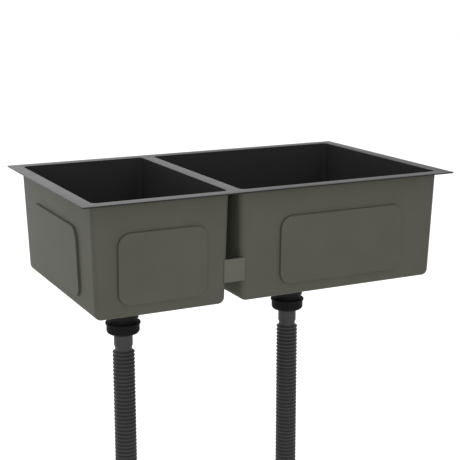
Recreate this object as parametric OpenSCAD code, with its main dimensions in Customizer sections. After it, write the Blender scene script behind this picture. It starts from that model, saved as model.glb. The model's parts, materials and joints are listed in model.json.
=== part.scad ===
// Double bowl kitchen sink that hangs in a worktop by its thin flat rim.
// A small and a large drafted bowl are welded under one rim plate. Glued pads and a sprayed
// coat deaden their outsides, and a strap ties their front corners. Each bowl has a basket
// strainer in its floor, and a ribbed hose with a pipe connector hangs from it.
// The origin is the middle of the rim's underside, the face that lies on the worktop.

/* [Rim] */
// Overall width of the rim, left to right
sink_w = 780; // [680:1:1100]
// Overall depth of the rim, front to back
sink_d = 480; // [420:1:600]
// Width of the rim around the openings
rim_border = 26; // [22:0.5:50]
// Width of the bridge between the openings
bridge_w = 27; // [20:0.5:60]
// Thickness of the rim plate
rim_t = 2.5; // [1:0.1:4]
// Radius of the rim's outer corners
rim_corner_r = 2; // [1:0.5:20]

/* [Bowls] */
// Width of the small opening
small_w = 263; // [230:1:330]
// Height from the top of the rim to the floor
bowl_depth = 215; // [190:1:250]
// Thickness of the bowl steel
steel_t = 1.2; // [0.8:0.1:2]
// Inside radius of the upright corners
corner_r = 10; // [9:0.5:24]
// Inside radius between walls and floor
floor_r = 9.5; // [4:0.5:14]
// Lean of the walls from upright, in degrees
draft = 1.7; // [0.5:0.1:3]
// Fall of the floor from its edges to the drain
floor_fall = 3; // [1:0.5:5]

/* [Coat and pads] */
// Thickness of the sprayed coat
coat_t = 1.8; // [1:0.1:3]
// Thickness of the glued pads
pad_t = 5; // [2:0.5:7]
// Corner radius of the raised fields over the pads
field_r = 25; // [10:1:40]
// Width of the slope around a raised field
field_slope = 1.4; // [0.5:0.1:3]
// Height from the top of the rim to a raised field
field_drop = 58; // [40:0.5:80]
// Height from the underside to a raised field
field_rise = 24.5; // [20:0.5:45]
// Margin beside the field on the small bowl's front and back
small_margin = 46.5; // [40:0.5:80]
// Margin beside the field on the large bowl's front and back
large_margin = 84.5; // [50:0.5:120]
// Margin beside the field on both outer sides
side_margin = 85; // [50:0.5:130]

/* [Strap] */
// Height from the top of the rim to the strap
strap_drop = 130.5; // [90:0.5:160]
// Height of the strap
strap_h = 45; // [20:0.5:60]
// Thickness of the strap
strap_t = 1.2; // [0.8:0.1:2]

/* [Drain opening] */
// Radius of the hole in the bowl floor
hole_r = 45; // [44.5:0.5:47]
// Radius of the seat pressed round the hole
seat_r = 58; // [56:0.5:62]
// Depth of the seat below the floor
seat_drop = 5; // [4.5:0.5:7]

/* [Strainer] */
// Thickness of the gasket on the seat
upper_gasket_t = 1.5; // [1:0.1:3]
// Thickness of the gasket under the floor
lower_gasket_t = 3; // [2:0.5:5]
// Radius of the strainer body's flange
flange_r = 54; // [52:0.5:54.5]
// Thickness of the strainer body's flange
flange_t = 2; // [1.5:0.1:3]
// Outside radius of the strainer body's cup
cup_r = 43.5; // [42.5:0.1:44]
// Wall of the strainer body's cup
cup_wall = 3; // [2:0.1:3.5]
// Length of the cup below its flange
cup_l = 31; // [30:0.5:50]
// Length of the cone under the cup
cone_l = 18; // [16:0.5:26]
// Outside radius of the collar under the cone
collar_r = 32; // [29.8:0.1:33]
// Length of the collar
collar_l = 13; // [7:0.5:18]
// Outside radius of the threaded outlet
outlet_r = 28.8; // [28:0.1:29.6]
// Bore radius of the outlet
outlet_bore_r = 25; // [22:0.1:26]
// Length of the threaded outlet below the collar
outlet_l = 23; // [20:0.5:30]
// Thickness of the steel trim on the flange
trim_t = 0.8; // [0.6:0.1:1.2]
// Drop of the trim's ledge that carries the basket
ledge_drop = 5.5; // [4.5:0.1:8]
// Radius of the ledge's hole
ledge_r = 36.6; // [36:0.1:38]
// Width of the cross bars in the outlet
bar_w = 4; // [3:0.1:5]
// Height of the cross bars
bar_h = 5; // [3:0.1:6]
// Radius of the hub that guides the basket's post
hub_r = 8; // [7:0.1:10]
// Outside radius of the lock nut
lock_nut_r = 53; // [51:0.5:55]
// Height of the lock nut
lock_nut_h = 15; // [10:0.5:24]
// Radius of the lock nut's grip lugs
lug_r = 5; // [3:0.5:7]
// Number of grip lugs
lug_count = 8; // [4:1:12]

/* [Basket] */
// Thickness of the basket's steel
basket_t = 0.8; // [0.6:0.1:1.2]
// Radius of the basket's floor
basket_floor_r = 29.5; // [28:0.1:31]
// Number of slots in the basket's wall
slot_count = 10; // [6:1:14]
// Width of a slot
slot_w = 4; // [2:0.1:6]
// Height of a slot
slot_h = 18; // [8:0.5:20]
// Number of holes in the basket's floor
floor_hole_count = 8; // [4:1:10]
// Radius of the holes in the floor
floor_hole_r = 3; // [2:0.1:4]
// Radius of the rubber seal under the basket
seal_r = 33; // [31.5:0.1:35]
// Thickness of the rubber seal
seal_t = 3; // [2:0.1:4]
// Radius of the post
post_r = 4; // [3:0.1:5]
// Radius of the knob on the post
knob_r = 11; // [8:0.5:13]
// Height of the knob
knob_h = 7; // [5:0.5:10]

/* [Union nut] */
// Outside radius of the nut
nut_r = 33.6; // [32.4:0.1:34.4]
// Radius of the bead at the nut's top
bead_r = 35.7; // [34.6:0.1:37]
// Height of the bead
bead_h = 5; // [4:0.5:8]
// Length of the threaded outlet inside the nut
nut_grip = 14.5; // [12:0.5:17]
// Height of the nut
nut_h = 24; // [23.5:0.5:30]
// Radius of the nut's rounded shoulder
shoulder_r = 7; // [4:0.5:9]
// Number of grip flutes round the nut
flute_count = 24; // [12:1:36]
// Radius of a flute
flute_r = 2; // [1:0.1:2.4]
// Depth of a flute
flute_d = 0.6; // [0.3:0.1:1]
// Thickness of the sealing washer
washer_t = 2.5; // [2:0.1:4]

/* [Hose] */
// Length of a hose, end to end
hose_l = 450; // [300:1:700]
// Thickness of the hose's top flange
hose_flange_t = 3; // [2:0.1:4]
// Outside radius of the smooth cuffs
cuff_r = 19.1; // [17.8:0.1:19.8]
// Length of the smooth top end below its flange
top_cuff_l = 29.5; // [26:0.5:50]
// Length of the smooth bottom end
end_cuff_l = 28.5; // [27:0.5:50]
// Length of the narrow neck beside the ribs
neck_l = 10; // [4:0.5:12]
// Radius of the narrow neck
neck_r = 17.4; // [17.1:0.1:18.5]
// Radius of a rib's crest
rib_r = 22.7; // [21:0.1:23]
// Radius of the valley between ribs
valley_r = 18.9; // [18.3:0.1:19.8]
// Distance from rib to rib
rib_pitch = 8; // [6:0.1:12]
// Bore radius of the hose
hose_bore_r = 16; // [14.5:0.1:16.5]

/* [Pipe connector] */
// Outside radius of the sleeve that holds the hose
sleeve_r = 22.3; // [21.3:0.1:23.8]
// Length of the sleeve
sleeve_l = 26; // [20:0.5:30]
// Radius of the stop collar
stop_r = 25; // [24:0.1:27]
// Thickness of the stop collar
stop_t = 4; // [3:0.1:6]
// Outside radius of the pipe spigot
spigot_r = 20; // [19:0.1:20.3]
// Bore radius of the pipe spigot
spigot_bore_r = 16.5; // [14:0.1:17.5]
// Length of the pipe spigot
spigot_l = 45; // [30:0.5:60]
// Chamfer at the spigot's end
spigot_chamfer = 1.5; // [0.5:0.1:2.5]
// Radius of the rubber ring on the spigot
ring_r = 23.4; // [22.5:0.1:24]
// Height of the rubber ring
ring_h = 6; // [4:0.1:10]
// Depth of the groove that holds the ring
groove_d = 1; // [0.5:0.1:1.5]

/* [Hidden] */

$fn = 64;
hull_fn = 32;

// Clearances
fit_gap = 0.05;
slip_gap = 0.3;
rest_gap = 0.2;
basket_play = 0.6;
post_play = 0.5;

// Overrun of every cut, and thickness of the thin layers that hulls start from
cut = 1;
skin = 0.5;

// Colours as the photograph shows them
rim_colour = [0.52, 0.52, 0.52];
bowl_colour = [0.12, 0.12, 0.12];
coat_colour = [0.36, 0.36, 0.32];
strap_colour = [0.40, 0.40, 0.36];
pad_colour = [0.15, 0.15, 0.15];
steel_colour = [0.70, 0.70, 0.70];
black_colour = [0.10, 0.10, 0.10];
hose_colour = [0.26, 0.26, 0.26];

// Places of the bowls
bowl_d = sink_d - 2 * rim_border;
large_w = sink_w - 2 * rim_border - bridge_w - small_w;
small_x = rim_border + small_w / 2 - sink_w / 2;
large_x = sink_w / 2 - rim_border - large_w / 2;

// Heights inside a bowl
floor_z = rim_t - bowl_depth;
dish_z = floor_z - floor_fall;
seat_z = dish_z - seat_drop;
floor_edge_r = min(floor_r, corner_r - skin);
lean = -(floor_z + floor_edge_r) * tan(draft);
coat_out = steel_t + coat_t;

// Raised fields and pads, measured along a wall
field_top = rim_t - field_drop;
field_h = bowl_depth + coat_out - field_drop - field_rise;
field_mid = field_top - field_h / 2;

// The strap lies flush with the front walls, across the bowls' rounded corners
outer_r = corner_r + coat_out;
strap_top = rim_t - strap_drop;
strap_lean = -strap_top * tan(draft);
strap_reach = sqrt(pow(outer_r, 2) - pow(outer_r - strap_t - fit_gap, 2));
strap_left = small_x + small_w / 2 - corner_r - strap_lean + strap_reach;
strap_right = large_x - large_w / 2 + corner_r + strap_lean - strap_reach;

// Heights of the strainer
gasket_top = seat_z + upper_gasket_t;
flange_top = gasket_top + flange_t;
trim_top = flange_top + fit_gap + trim_t;
ledge_z = trim_top - ledge_drop;
seat_under_z = seat_z - steel_t;
lower_gasket_z = seat_under_z - fit_gap - lower_gasket_t;
lock_nut_z = lower_gasket_z - fit_gap - lock_nut_h;
cup_bore_r = cup_r - cup_wall;
throat_r = cup_bore_r - 2 * fit_gap;
cone_z = gasket_top - cup_l;
collar_z = cone_z - cone_l;
collar_top = collar_z - fit_gap;
outlet_z = collar_z - collar_l;
outlet_end = outlet_z - outlet_l;

// Heights of the basket, which closes on the cone with its rubber seal
basket_top = ledge_z + rest_gap + basket_t;
basket_rim_r = throat_r - trim_t - post_play;
basket_mouth_r = ledge_r - basket_play;
seal_z = cone_z - cone_l * (cup_bore_r - seal_r) / (cup_bore_r - outlet_bore_r) + slip_gap;
basket_floor_z = seal_z + seal_t;
basket_mid_z = (basket_top + basket_floor_z) / 2;
floor_hole_ring_r = (basket_floor_r + knob_r) / 2 - basket_t;
bar_z = collar_top - bar_h;
bar_reach = (outlet_bore_r + outlet_r) / 2;
post_tip_z = bar_z + cut;
knob_top = trim_top - basket_t;

// Heights of the union nut
nut_bore_r = outlet_r + slip_gap;
washer_z = outlet_end - fit_gap - washer_t;
hose_top = washer_z - fit_gap;
hose_flange_r = outlet_r - slip_gap;
lip_z = hose_top - hose_flange_t - fit_gap;
nut_top = outlet_end + nut_grip;
nut_z = nut_top - nut_h;
lip_r = cuff_r + slip_gap;
bead_z = nut_top - bead_h;
bead_edge = bead_h / 4;

// Heights of the hose and its connector
hose_end = hose_top - hose_l;
top_ribs_z = hose_top - hose_flange_t - top_cuff_l - neck_l;
end_ribs_z = hose_end + end_cuff_l + neck_l;
rib_count = floor((top_ribs_z - end_ribs_z) / rib_pitch);
rib_run = (top_ribs_z - end_ribs_z) / rib_count;
stop_z = hose_end - fit_gap - stop_t;
spigot_end = stop_z - spigot_l;
ring_z = stop_z - fit_gap - ring_h;
groove_r = spigot_r - groove_d;
groove_z = ring_z - fit_gap;

// Shares of one rib's run at which its crest and its valley start and end
rib_shares = [0.18, 0.41, 0.63, 0.88];

// Shapes that repeat

// A rectangle with round corners, about its middle
module rounded_rect(w, h, r) {
    square([w - 2 * r, h], center = true);
    square([w, h - 2 * r], center = true);
    for (sx = [-1, 1], sy = [-1, 1])
        translate([sx * (w / 2 - r), sy * (h / 2 - r)])
            circle(r);
}

// A flat ring that starts at height z
module ring(outer, inner, z, h) {
    translate([0, 0, z])
        difference() {
            cylinder(r = outer, h = h);
            translate([0, 0, -cut])
                cylinder(r = inner, h = h + 2 * cut);
        }
}

// The round foot under one upright corner of a bowl
module corner_foot(r, edge) {
    rotate_extrude($fn = hull_fn)
        intersection() {
            translate([r - edge, edge])
                circle(edge, $fn = hull_fn);
            square([r, 2 * edge]);
        }
}

// What a bowl's drafted walls enclose, grown by out from the inside surface.
// lip is the height that it stands over the rim's underside, or below it where negative.
module tub(w, out, lip) {
    hull()
        for (sx = [-1, 1], sy = [-1, 1]) {
            translate([sx * (w / 2 - corner_r), sy * (bowl_d / 2 - corner_r), min(lip, 0)])
                cylinder(r = corner_r + out, h = abs(lip), $fn = hull_fn);
            translate([
                sx * (w / 2 - lean - corner_r),
                sy * (bowl_d / 2 - lean - corner_r),
                floor_z - out
            ])
                corner_foot(corner_r + out, floor_edge_r + out);
        }
}

// The shallow fall from the floor's edges to the drain
module floor_dish(w, out) {
    inset = lean + floor_edge_r;
    hull() {
        translate([0, 0, floor_z - out])
            linear_extrude(skin)
                rounded_rect(w - 2 * inset, bowl_d - 2 * inset, corner_r - floor_edge_r, $fn = hull_fn);
        translate([0, 0, dish_z - out])
            cylinder(r = seat_r + coat_out, h = skin, $fn = hull_fn);
    }
}

// A bowl's walls, floor and drain seat as one filled shape
module bowl_form(w, out, lip) {
    tub(w, out, lip);
    floor_dish(w, out);
    translate([0, 0, seat_z - out])
        cylinder(r = seat_r + out, h = seat_drop + out + skin);
}

// Lays its children on a wall: X along it, Y up it and Z out of it.
// Turn 0 is the front, 180 the back, -90 the left and 90 the right.
module on_wall(turn, reach) {
    rotate([0, 0, turn])
        translate([0, -reach, 0])
            rotate([90 + draft, 0, 0])
                children();
}

// Half the distance between the two walls that a wall at that turn belongs to
function wall_reach(turn, w) = abs(turn) == 90 ? w / 2 : bowl_d / 2;

// Width of the wall at that turn
function wall_width(turn, w) = abs(turn) == 90 ? bowl_d : w;

// Margin beside the field on the wall at that turn
function wall_margin(turn, margin) = abs(turn) == 90 ? side_margin : margin;

// Width of the raised field on the wall at that turn
function field_width(turn, w, margin) =
    wall_width(turn, w) + 2 * coat_out - 2 * wall_margin(turn, margin);

// A pad glued to the steel, smaller than its field by the coat around it
module pad(turn, w, margin, grow) {
    on_wall(turn, wall_reach(turn, w) + steel_t)
        translate([0, field_mid, fit_gap - grow])
            linear_extrude(pad_t + 2 * grow)
                rounded_rect(
                    field_width(turn, w, margin) - 2 * coat_t + 2 * grow,
                    field_h - 2 * coat_t + 2 * grow,
                    field_r - coat_t + grow
                );
}

// The raised field that the coat makes over a pad, with sloping edges
module raised_field(turn, w, margin) {
    on_wall(turn, wall_reach(turn, w) + steel_t + fit_gap)
        translate([0, field_mid, 0])
            hull() {
                linear_extrude(coat_t + pad_t - field_slope)
                    rounded_rect(field_width(turn, w, margin), field_h, field_r, $fn = hull_fn);
                linear_extrude(coat_t + pad_t)
                    rounded_rect(
                        field_width(turn, w, margin) - 2 * field_slope,
                        field_h - 2 * field_slope,
                        field_r - field_slope,
                        $fn = hull_fn
                    );
            }
}

// Sub-parts

module rim_plate() {
    color(rim_colour)
        linear_extrude(rim_t)
            difference() {
                rounded_rect(sink_w, sink_d, rim_corner_r);
                translate([small_x, 0])
                    rounded_rect(small_w, bowl_d, corner_r);
                translate([large_x, 0])
                    rounded_rect(large_w, bowl_d, corner_r);
            }
}

module bowl(w) {
    color(bowl_colour)
        difference() {
            bowl_form(w, steel_t, -skin);
            bowl_form(w, 0, cut);
            translate([0, 0, seat_under_z - cut])
                cylinder(r = hole_r, h = steel_t + 2 * cut);
        }
}

module wall_pad(turn, w, margin) {
    color(pad_colour)
        pad(turn, w, margin, 0);
}

module coat(w, margin, side_turn) {
    color(coat_colour)
        difference() {
            union() {
                tub(w, coat_out, -skin);
                floor_dish(w, coat_out);
                for (turn = [0, 180, side_turn])
                    raised_field(turn, w, margin);
            }
            bowl_form(w, steel_t + fit_gap, cut);
            for (turn = [0, 180, side_turn])
                pad(turn, w, margin, fit_gap);
        }
}

module front_strap() {
    color(strap_colour)
        on_wall(0, bowl_d / 2 + coat_out)
            translate([strap_left, strap_top - strap_h, -strap_t])
                cube([strap_right - strap_left, strap_h, strap_t]);
}

module upper_gasket() {
    color(black_colour)
        ring(flange_r, hole_r, seat_z, upper_gasket_t);
}

module strainer_body() {
    color(black_colour)
        rotate_extrude()
            polygon([
                [cup_bore_r, flange_top],
                [flange_r, flange_top],
                [flange_r, gasket_top],
                [cup_r, gasket_top],
                [cup_r, cone_z],
                [collar_r, collar_z],
                [outlet_bore_r, collar_z],
                [cup_bore_r, cone_z]
            ]);
}

module threaded_outlet() {
    color(black_colour)
        difference() {
            union() {
                rotate_extrude()
                    polygon([
                        [outlet_bore_r, collar_top],
                        [collar_r, collar_top],
                        [collar_r, outlet_z],
                        [outlet_r, outlet_z],
                        [outlet_r, outlet_end],
                        [outlet_bore_r, outlet_end]
                    ]);
                translate([0, 0, bar_z]) {
                    cylinder(r = hub_r, h = bar_h);
                    for (turn = [0, 90])
                        rotate([0, 0, turn])
                            translate([-bar_reach, -bar_w / 2, 0])
                                cube([2 * bar_reach, bar_w, bar_h - cut]);
                }
            }
            translate([0, 0, bar_z - cut])
                cylinder(r = post_r + post_play, h = bar_h + 2 * cut);
        }
}

module strainer_trim() {
    edge_r = flange_r + fit_gap;
    color(steel_colour)
        rotate_extrude()
            polygon([
                [edge_r + trim_t, trim_top],
                [edge_r + trim_t, gasket_top],
                [edge_r, gasket_top],
                [edge_r, trim_top - trim_t],
                [throat_r, trim_top - trim_t],
                [throat_r, ledge_z - trim_t],
                [ledge_r, ledge_z - trim_t],
                [ledge_r, ledge_z],
                [throat_r - trim_t, ledge_z],
                [throat_r - trim_t, trim_top]
            ]);
}

module lower_gasket() {
    color(black_colour)
        ring(lock_nut_r, cup_r + slip_gap, lower_gasket_z, lower_gasket_t);
}

module lock_nut() {
    color(black_colour)
        difference() {
            translate([0, 0, lock_nut_z])
                union() {
                    cylinder(r = lock_nut_r, h = lock_nut_h);
                    for (i = [0 : lug_count - 1])
                        rotate([0, 0, 360 * i / lug_count])
                            translate([lock_nut_r, 0, 0])
                                cylinder(r = lug_r, h = lock_nut_h - lug_r / 2);
                }
            translate([0, 0, lock_nut_z - cut])
                cylinder(r = cup_r + slip_gap, h = lock_nut_h + 2 * cut);
        }
}

module basket() {
    color(steel_colour)
        difference() {
            rotate_extrude()
                polygon([
                    [basket_rim_r, basket_top],
                    [basket_rim_r, basket_top - basket_t],
                    [basket_mouth_r, basket_top - basket_t],
                    [basket_floor_r, basket_floor_z],
                    [post_r + fit_gap, basket_floor_z],
                    [post_r + fit_gap, basket_floor_z + basket_t],
                    [basket_floor_r - basket_t, basket_floor_z + basket_t],
                    [basket_mouth_r - basket_t, basket_top]
                ]);
            for (i = [0 : slot_count - 1])
                rotate([0, 0, 360 * (i + 1 / 2) / slot_count])
                    translate([knob_r, -slot_w / 2, basket_mid_z - slot_h / 2])
                        cube([basket_rim_r, slot_w, slot_h]);
            for (i = [0 : floor_hole_count - 1])
                rotate([0, 0, 360 * i / floor_hole_count])
                    translate([floor_hole_ring_r, 0, basket_floor_z - cut])
                        cylinder(r = floor_hole_r, h = basket_t + 2 * cut);
        }
}

module basket_seal() {
    color(black_colour)
        rotate_extrude()
            polygon([
                [post_r + fit_gap, seal_z],
                [seal_r, seal_z],
                [seal_r, seal_z + seal_t / 2],
                [seal_r - seal_t / 2, basket_floor_z - fit_gap],
                [post_r + fit_gap, basket_floor_z - fit_gap]
            ]);
}

module basket_post() {
    color(steel_colour)
        rotate_extrude()
            polygon([
                [0, post_tip_z],
                [post_r - post_play, post_tip_z],
                [post_r, post_tip_z + post_play],
                [post_r, knob_top - knob_h],
                [knob_r - knob_h / 4, knob_top - knob_h],
                [knob_r, knob_top - knob_h * 3 / 4],
                [knob_r, knob_top - knob_h / 4],
                [knob_r - knob_h / 4, knob_top],
                [0, knob_top]
            ]);
}

module sealing_washer() {
    color(black_colour)
        ring(outlet_r, hose_bore_r, washer_z, washer_t);
}

module union_nut() {
    color(black_colour)
        difference() {
            rotate_extrude()
                polygon([
                    [nut_bore_r, nut_top],
                    [bead_r - bead_edge, nut_top],
                    [bead_r, nut_top - bead_edge],
                    [bead_r, bead_z + bead_edge],
                    [nut_r, bead_z],
                    for (a = [0 : 15 : 90])
                        [
                            nut_r - shoulder_r * (1 - cos(a)),
                            nut_z + shoulder_r * (1 - sin(a))
                        ],
                    [lip_r, nut_z],
                    [lip_r, lip_z],
                    [nut_bore_r, lip_z]
                ]);
            for (i = [0 : flute_count - 1])
                rotate([0, 0, 360 * i / flute_count])
                    translate([nut_r + flute_r - flute_d, 0, nut_z + shoulder_r])
                        cylinder(r = flute_r, h = bead_z - nut_z - shoulder_r);
        }
}

// The outer outline of the ribs, from the top rib down
function rib_points() = [
    for (i = [0 : rib_count - 1], k = [0 : 3])
        [
            k == 1 || k == 2 ? rib_r : valley_r,
            top_ribs_z - rib_run * (i + rib_shares[k])
        ]
];

module hose() {
    color(hose_colour)
        rotate_extrude()
            polygon(concat(
                [
                    [hose_bore_r, hose_top],
                    [hose_flange_r, hose_top],
                    [hose_flange_r, hose_top - hose_flange_t],
                    [cuff_r, hose_top - hose_flange_t],
                    [cuff_r, top_ribs_z + neck_l],
                    [neck_r, top_ribs_z + neck_l],
                    [neck_r, top_ribs_z]
                ],
                rib_points(),
                [
                    [neck_r, end_ribs_z],
                    [neck_r, end_ribs_z - neck_l],
                    [cuff_r, end_ribs_z - neck_l],
                    [cuff_r, hose_end],
                    [hose_bore_r, hose_end]
                ]
            ));
}

module hose_connector() {
    grip_r = cuff_r + fit_gap;
    color(black_colour)
        rotate_extrude()
            polygon([
                [grip_r, hose_end + sleeve_l],
                [sleeve_r, hose_end + sleeve_l],
                [sleeve_r, stop_z + stop_t],
                [stop_r, stop_z + stop_t],
                [stop_r, stop_z],
                [groove_r, stop_z],
                [groove_r, groove_z],
                [spigot_r, groove_z],
                [spigot_r, spigot_end + spigot_chamfer],
                [spigot_r - spigot_chamfer, spigot_end],
                [spigot_bore_r, spigot_end],
                [spigot_bore_r, stop_z + stop_t],
                [grip_r, stop_z + stop_t]
            ]);
}

module connector_ring() {
    color(black_colour)
        ring(ring_r, groove_r + fit_gap, ring_z, ring_h);
}

// Puts its children under the drain of the left or the right bowl
module at_left() {
    translate([small_x, 0, 0])
        children();
}

module at_right() {
    translate([large_x, 0, 0])
        children();
}

rim_plate();
at_left() bowl(small_w);  // left_bowl
at_right() bowl(large_w);  // right_bowl
at_left() wall_pad(0, small_w, small_margin);  // left_front_pad
at_left() wall_pad(-90, small_w, small_margin);  // left_side_pad
at_left() wall_pad(180, small_w, small_margin);  // left_back_pad
at_right() wall_pad(0, large_w, large_margin);  // right_front_pad
at_right() wall_pad(90, large_w, large_margin);  // right_side_pad
at_right() wall_pad(180, large_w, large_margin);  // right_back_pad
at_left() coat(small_w, small_margin, -90);  // left_coat
at_right() coat(large_w, large_margin, 90);  // right_coat
front_strap();
at_left() upper_gasket();  // left_upper_gasket
at_right() upper_gasket();  // right_upper_gasket
at_left() strainer_body();  // left_strainer_body
at_right() strainer_body();  // right_strainer_body
at_left() threaded_outlet();  // left_threaded_outlet
at_right() threaded_outlet();  // right_threaded_outlet
at_left() strainer_trim();  // left_strainer_trim
at_right() strainer_trim();  // right_strainer_trim
at_left() lower_gasket();  // left_lower_gasket
at_right() lower_gasket();  // right_lower_gasket
at_left() lock_nut();  // left_lock_nut
at_right() lock_nut();  // right_lock_nut
at_left() basket();  // left_basket
at_right() basket();  // right_basket
at_left() basket_seal();  // left_basket_seal
at_right() basket_seal();  // right_basket_seal
at_left() basket_post();  // left_basket_post
at_right() basket_post();  // right_basket_post
at_left() sealing_washer();  // left_sealing_washer
at_right() sealing_washer();  // right_sealing_washer
at_left() union_nut();  // left_union_nut
at_right() union_nut();  // right_union_nut
at_left() hose();  // left_hose
at_right() hose();  // right_hose
at_left() hose_connector();  // left_hose_connector
at_right() hose_connector();  // right_hose_connector
at_left() connector_ring();  // left_connector_ring
at_right() connector_ring();  // right_connector_ring
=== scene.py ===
"""Dressed model of a double bowl kitchen sink with two ribbed drain hoses.

Every size is in metres and in the sink's own frame: the origin is the middle of the rim's
underside, +X runs from the small bowl to the large one, +Y to the back and +Z up.
"""

import json
import logging
import math
from dataclasses import dataclass
from enum import Enum
from typing import Callable, Sequence

import bmesh
import bpy
from mathutils import Matrix, Vector


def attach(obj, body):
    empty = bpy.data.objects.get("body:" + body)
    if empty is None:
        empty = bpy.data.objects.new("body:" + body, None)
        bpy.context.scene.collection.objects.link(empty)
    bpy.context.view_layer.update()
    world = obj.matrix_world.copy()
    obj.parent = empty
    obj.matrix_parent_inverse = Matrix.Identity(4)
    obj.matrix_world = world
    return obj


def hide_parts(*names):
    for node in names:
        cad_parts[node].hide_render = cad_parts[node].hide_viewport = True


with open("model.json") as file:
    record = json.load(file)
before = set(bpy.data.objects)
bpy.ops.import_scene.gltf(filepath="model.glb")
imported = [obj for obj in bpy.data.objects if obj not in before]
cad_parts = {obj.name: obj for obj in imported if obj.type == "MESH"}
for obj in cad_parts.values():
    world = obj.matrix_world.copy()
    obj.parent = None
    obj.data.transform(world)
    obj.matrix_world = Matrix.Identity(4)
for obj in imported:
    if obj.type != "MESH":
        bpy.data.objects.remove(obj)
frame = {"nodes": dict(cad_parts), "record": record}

log = logging.getLogger("sink")

Piece = bpy.types.Object
Material = bpy.types.Material
Tree = bpy.types.NodeTree
Node = bpy.types.Node
Socket = bpy.types.NodeSocket
Outline = list[tuple[float, float]]
Colour = tuple[float, float, float, float]

# Points closer than this are merged
MERGE = 2e-6
# How near to a height a point counts as being at it
NEAR = 1e-5
# The radius of a ring that closes a shape on its axis
POINT_R = 1e-7
# How much of a direction has to lie along an axis to count as running that way
ALONG = 0.9
# The play between pieces that lie against each other
GAP = 0.00005
# The least sum of squares that anything is divided by
LEAST_SQUARE = 1e-12
# Edges sharper than these angles are rounded, or shaded as edges
ROUND_ANGLE = math.radians(50)
SHADE_ANGLE = math.radians(32)


class Wall(Enum):
    """A side of a bowl, with the turn about Z that brings the front wall there."""

    FRONT = 0.0
    BACK = math.pi
    LEFT = -math.pi / 2
    RIGHT = math.pi / 2


class Element(Enum):
    """What a selection in edit mode is made of."""

    VERTEX = "VERT"
    EDGE = "EDGE"
    FACE = "FACE"


class Body(str, Enum):
    """The bodies that pieces ride on."""

    SINK = "sink"
    LEFT_BASKET = "left_basket"
    RIGHT_BASKET = "right_basket"


# Sizes


@dataclass(frozen=True)
class Side:
    """One bowl and the drain under it."""

    name: str
    x: float
    width: float
    field_margin: float
    outer_wall: Wall
    basket: Body

    def named(self, what: str) -> str:
        """Give the full name of a piece or a node on this side."""
        return f"{self.name}_{what}"


SIDES = (
    Side("left", x=-0.2325, width=0.263, field_margin=0.0465, outer_wall=Wall.LEFT, basket=Body.LEFT_BASKET),
    Side("right", x=0.145, width=0.438, field_margin=0.0845, outer_wall=Wall.RIGHT, basket=Body.RIGHT_BASKET),
)


@dataclass(frozen=True)
class SinkSizes:
    """The sizes that the rim, the bowls and the coat share."""

    width: float = 0.780
    depth: float = 0.480
    rim_t: float = 0.0025
    rim_corner: float = 0.002
    opening_d: float = 0.428
    draft: float = math.radians(1.7)
    corner: float = 0.010
    corner_steps: int = 15
    floor_r: float = 0.0095
    bowl_depth: float = 0.215
    floor_fall: float = 0.003
    seat_depth: float = 0.005
    floor_z: float = rim_t - bowl_depth
    dish_z: float = floor_z - floor_fall
    seat_z: float = dish_z - seat_depth
    seat_r: float = 0.058
    hole_r: float = 0.045
    steel: float = 0.0012
    coat: float = 0.0018
    skin: float = steel + coat


SIZES = SinkSizes()


@dataclass(frozen=True)
class DrainSizes:
    """The heights and radii at which the pieces of a drain meet."""

    gasket_t: float = 0.0015
    gasket_top: float = SIZES.seat_z + gasket_t
    flange_t: float = 0.002
    flange_top: float = gasket_top + flange_t
    flange_r: float = 0.054
    trim_t: float = 0.0008
    trim_top: float = flange_top + GAP + trim_t
    ledge_depth: float = 0.0055
    ledge_z: float = trim_top - ledge_depth
    bore_r: float = 0.0405
    lower_gasket_t: float = 0.003
    lower_gasket_top: float = SIZES.seat_z - SIZES.steel - GAP
    nut_top: float = lower_gasket_top - lower_gasket_t - GAP
    nut_r: float = 0.053
    nut_bore_r: float = 0.0438
    outlet_r: float = 0.0288
    outlet_end: float = -0.304
    washer_t: float = 0.0025
    hose_top: float = outlet_end - GAP - washer_t - GAP
    hose_flange_t: float = 0.003
    hose_bore_r: float = 0.016


DRAIN = DrainSizes()


# Modelling bench


def clear_selection() -> None:
    """Leave edit mode and deselect every object."""
    active = bpy.context.view_layer.objects.active
    if active is not None and active.mode != "OBJECT":
        end_edit()
    bpy.ops.object.select_all(action="DESELECT")


def activate(piece: Piece) -> None:
    """Make a piece the only selected and the active object.

    Args:
        piece: The piece.
    """
    clear_selection()
    piece.select_set(True)
    bpy.context.view_layer.objects.active = piece


def start_edit(piece: Piece) -> None:
    """Open a piece in edit mode with nothing selected.

    Args:
        piece: The piece to work on.
    """
    activate(piece)
    bpy.ops.object.mode_set(mode="EDIT")
    bpy.ops.mesh.select_mode(type=Element.VERTEX.value)
    bpy.ops.mesh.select_all(action="DESELECT")


def end_edit() -> None:
    """Leave edit mode."""
    bpy.ops.object.mode_set(mode="OBJECT")


def pick_all(element: Element) -> None:
    """Select the whole mesh in edit mode, as vertices, edges or faces."""
    bpy.ops.mesh.select_mode(type=element.value)
    bpy.ops.mesh.select_all(action="SELECT")


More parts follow.
